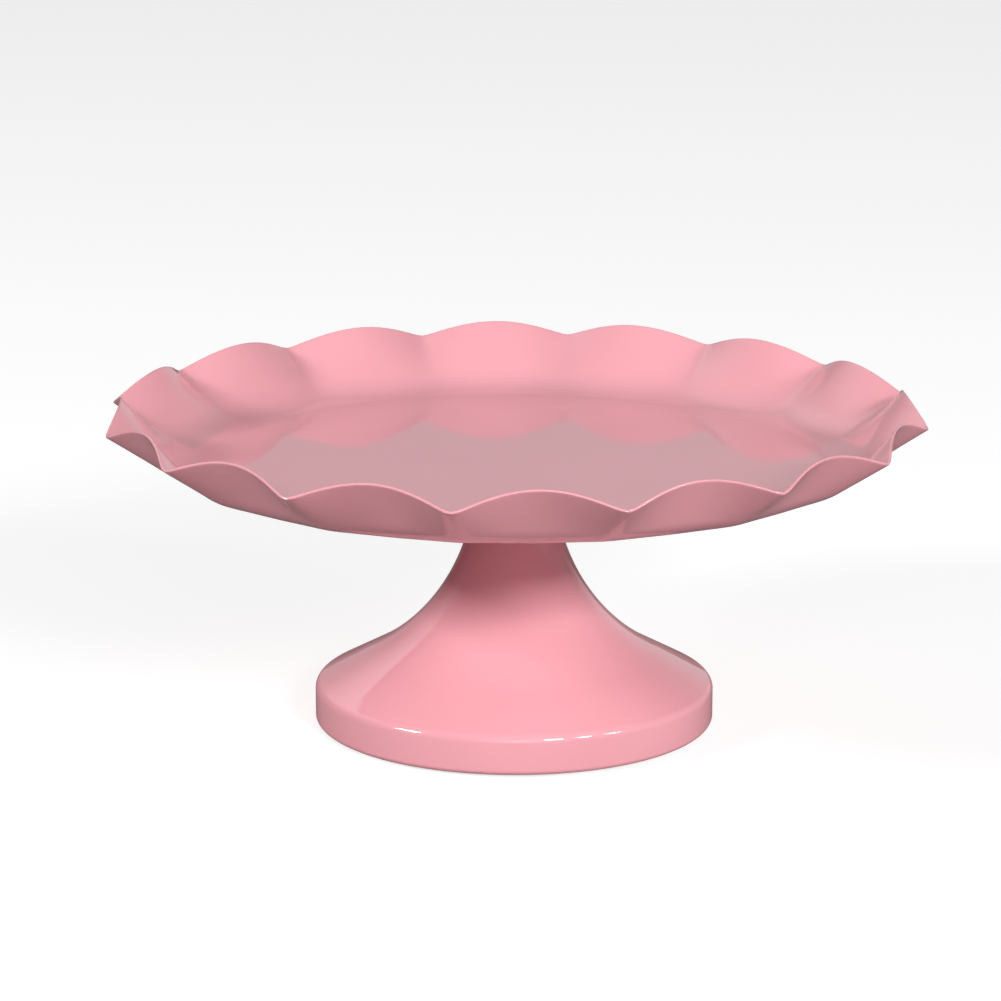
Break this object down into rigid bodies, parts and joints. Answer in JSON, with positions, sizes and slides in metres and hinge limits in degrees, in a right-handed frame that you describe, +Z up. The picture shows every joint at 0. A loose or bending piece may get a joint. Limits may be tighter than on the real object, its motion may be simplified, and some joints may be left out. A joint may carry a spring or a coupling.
{
  "type": "cake stand",
  "caption": "Round pedestal cake stand: a wavy-rimmed tray that screws onto a hollow trumpet-shaped foot.",
  "frame": {"origin": "on the stand's axis, at the surface it stands on (underside of the grip pads)", "axes": "+Z up along the stand's axis; a high point of the wavy rim faces -Y"},
  "size_m": [0.2942, 0.2942, 0.122],
  "materials": {
    "pink_enamel": "smooth high-gloss baked enamel",
    "zinc_plated_steel": "bright zinc",
    "black_rubber": "matt"
  },
  "bodies": {
    "foot": {"pedestal": "pink_enamel", "weld_nut": "zinc_plated_steel", "grip_pad_1": "black_rubber", "grip_pad_2": "black_rubber", "grip_pad_3": "black_rubber", "grip_pad_4": "black_rubber"},
    "gasket_ring": {"gasket": "black_rubber"},
    "tray": {"plate": "pink_enamel", "reinforcing_disc": "pink_enamel", "threaded_stud": "zinc_plated_steel"}
  },
  "joints": [
    {"name": "plate_rise", "type": "slide", "parent": "foot", "child": "gasket_ring", "axis": [0, 0, 1], "range_m": [0, 0.00876]},
    {"name": "plate_turn", "type": "hinge", "parent": "gasket_ring", "child": "tray", "pos_m": [0, 0, 0.0953], "axis": [0, 0, 1], "range_deg": [0, 2520]}
  ],
  "couplings": [
    {"joint": "plate_rise", "follows": "plate_turn", "m_per_rad": 0.00019894}
  ]
}
